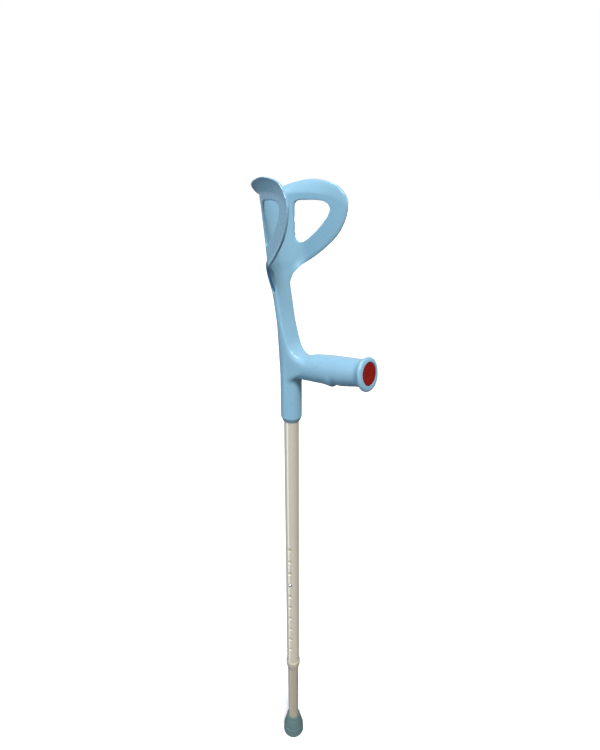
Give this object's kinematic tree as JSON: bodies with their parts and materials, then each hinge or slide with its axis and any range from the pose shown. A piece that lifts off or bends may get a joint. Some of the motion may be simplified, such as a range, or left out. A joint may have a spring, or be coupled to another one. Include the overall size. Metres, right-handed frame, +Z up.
{
  "type": "forearm crutch",
  "caption": "Adjustable forearm crutch: moulded arm cuff and hand grip on a telescopic aluminium tube with a snap button and a rubber ferrule.",
  "frame": {"origin": "centre of the ferrule's tread, on the shaft's axis", "axes": "+Z up the shaft, +X forward along the hand grip, +Y to the user's left; the cuff opens toward +X"},
  "size_m": [0.1786, 0.1166, 1.0062],
  "materials": {
    "moulded_blue": "smooth satin-gloss injection-moulded polypropylene, light blue",
    "reflector_red": "glossy deep red lens with small prisms behind it",
    "reflector_shell": "grey moulded back with a push-in peg",
    "anodised_outer": "satin champagne-silver anodised, fine drawing lines along the tube",
    "screw_zinc": "zinc-plated",
    "collar_beige": "beige moulded bush, slightly glossy rim",
    "anodised_inner": "satin champagne anodised, a little darker than the outer tube",
    "button_steel": "polished steel button",
    "spring_steel": "bare spring steel strip",
    "ferrule_rubber": "grey-teal moulded rubber, matt, with a paler raised rim and ring",
    "washer_steel": "zinc-plated washer"
  },
  "bodies": {
    "upper": {"upper_moulding": "moulded_blue", "reflector_lens": "reflector_red", "reflector_back": "reflector_shell", "outer_tube": "anodised_outer", "tube_screw": "screw_zinc", "collar_bush": "collar_beige"},
    "lower_leg": {"inner_tube": "anodised_inner", "button_spring": "spring_steel", "ferrule": "ferrule_rubber", "ferrule_washer": "washer_steel"},
    "button": {"snap_button": "button_steel"}
  },
  "joints": [
    {"name": "height_adjust", "type": "slide", "parent": "upper", "child": "lower_leg", "axis": [0, 0, -1], "range_m": [-0.0735, 0.0735]},
    {"name": "button_press", "type": "slide", "parent": "lower_leg", "child": "button", "axis": [-0.309, 0.9511, 0], "range_m": [0, 0.0036], "stiffness_N_per_m": 1500, "springref_m": -0.002, "deforming": ["button_spring"]}
  ]
}
